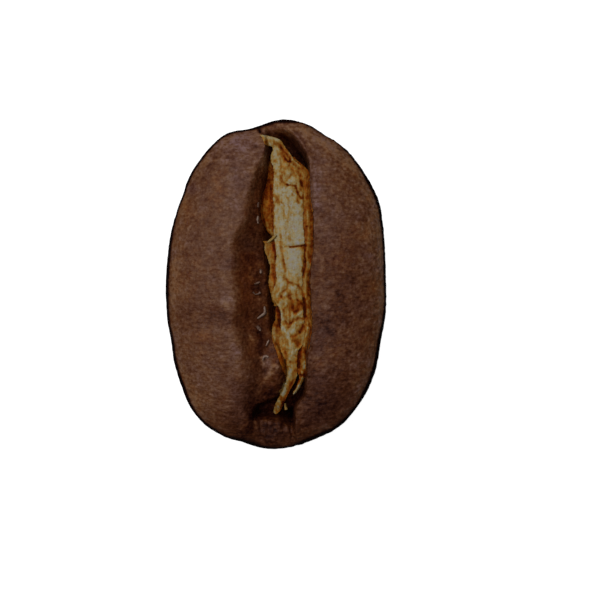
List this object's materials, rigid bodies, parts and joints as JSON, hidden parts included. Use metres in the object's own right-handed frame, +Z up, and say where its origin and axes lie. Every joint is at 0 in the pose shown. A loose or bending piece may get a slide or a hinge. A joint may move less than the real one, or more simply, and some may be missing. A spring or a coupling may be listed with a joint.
{
  "type": "roasted arabica coffee bean",
  "caption": "Roasted arabica coffee bean lying on its domed back, crease side up, with a crumpled strip of papery silverskin and loose chaff flakes in the open crease.",
  "frame": {"origin": "on the surface the bean rests on, under the middle of the bean's outline", "axes": "+Z up, out of the creased face; +Y along the bean, towards the end where the crease hooks over; +X to the right when the creased face is looked down on"},
  "size_m": [0.0074, 0.011, 0.0048],
  "materials": {
    "roasted_bean": "satin",
    "silverskin": "matte"
  },
  "bodies": {
    "root": {"bean": "roasted_bean", "silverskin": "silverskin", "silverskin_flake_1": "silverskin", "silverskin_flake_2": "silverskin", "silverskin_flake_3": "silverskin", "silverskin_flake_4": "silverskin", "silverskin_flake_5": "silverskin", "silverskin_flake_6": "silverskin", "silverskin_flake_7": "silverskin", "silverskin_flake_8": "silverskin", "silverskin_flake_9": "silverskin"}
  },
  "joints": []
}
